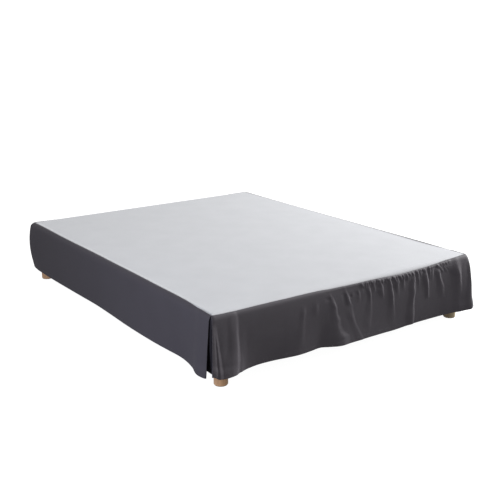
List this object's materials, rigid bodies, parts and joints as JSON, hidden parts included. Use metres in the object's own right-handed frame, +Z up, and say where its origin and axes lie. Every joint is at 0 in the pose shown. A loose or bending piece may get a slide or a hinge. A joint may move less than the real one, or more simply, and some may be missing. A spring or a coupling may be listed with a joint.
{
  "type": "bed skirt on a bed base",
  "caption": "Platform panel with hemmed cloth drops on three sides, pleated at the foot corners, over a plain low bed base on short round legs.",
  "frame": {"origin": "on the floor at the sole of the middle leg, which is midway between the base's sides and between its ends", "axes": "+Z up, +Y towards the head end, -Y towards the foot end, -X towards the left side"},
  "size_m": [1.6497, 2.0887, 0.3516],
  "materials": {
    "dark_cloth": "matte plain weave, anthracite",
    "pale_cloth": "matte plain weave, pale grey",
    "base_cover": "matte padded cover, grey",
    "leg_wood": "natural beech, satin"
  },
  "bodies": {
    "root": {"bed_base": "base_cover", "leg_foot_left": "leg_wood", "leg_foot_right": "leg_wood", "leg_head_left": "leg_wood", "leg_head_right": "leg_wood", "leg_middle": "leg_wood", "platform_panel": "pale_cloth", "drop_foot": "dark_cloth", "drop_left": "dark_cloth", "drop_right": "dark_cloth", "pleat_back_left": "dark_cloth", "pleat_back_right": "dark_cloth"}
  },
  "joints": []
}
